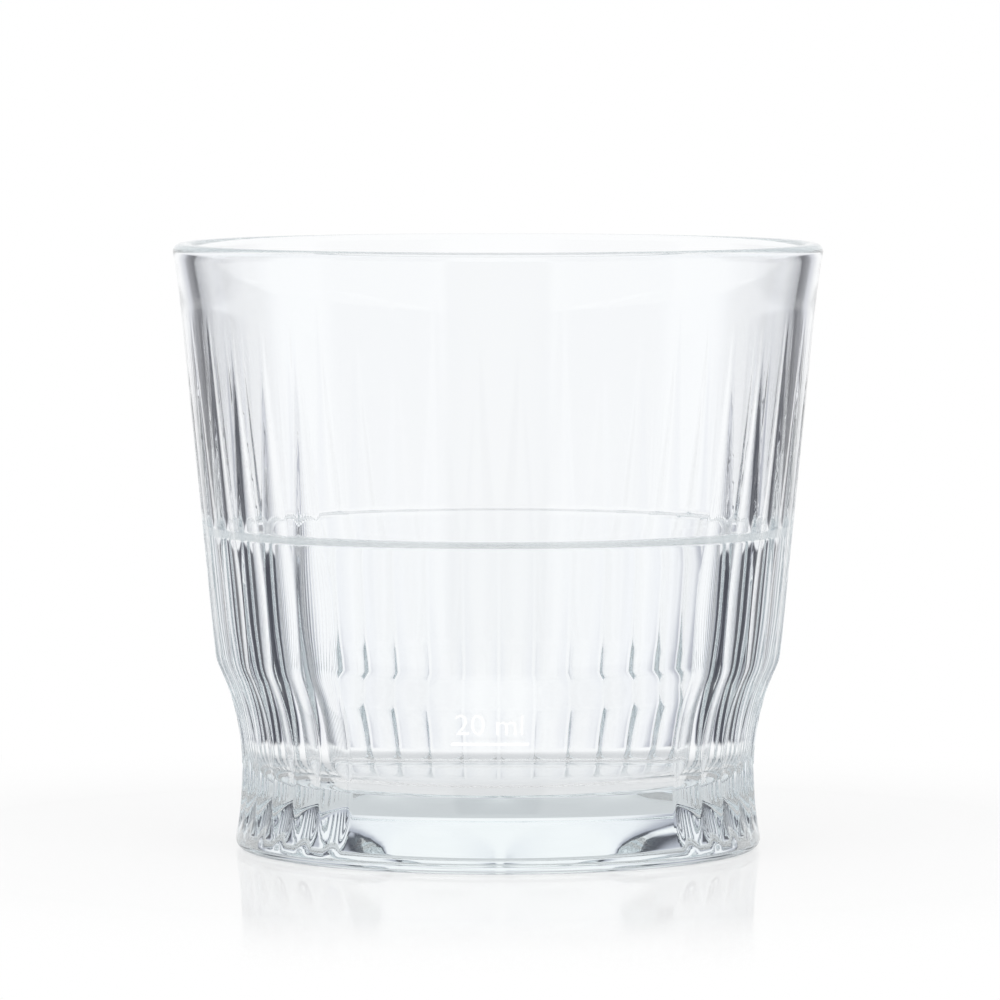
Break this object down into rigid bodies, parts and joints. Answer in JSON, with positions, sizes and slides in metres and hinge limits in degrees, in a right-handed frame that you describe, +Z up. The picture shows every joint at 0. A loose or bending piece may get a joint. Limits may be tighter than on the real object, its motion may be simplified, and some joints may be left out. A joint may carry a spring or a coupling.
{
  "type": "whisky tumbler",
  "caption": "Pressed-glass whisky tumbler with fluted sides, a plain front panel with a fill line, a heavy waisted base and an inner stacking ledge.",
  "frame": {"origin": "on the table plane under the axis of the glass", "axes": "+Z up along the axis; the plain front panel faces -Y"},
  "size_m": [0.088, 0.088, 0.082],
  "materials": {
    "clear_glass": "fire-polished clear soda-lime glass",
    "white_enamel": "opaque white fired enamel"
  },
  "bodies": {
    "root": {"tumbler_body": "clear_glass", "fill_line": "white_enamel"}
  },
  "joints": []
}
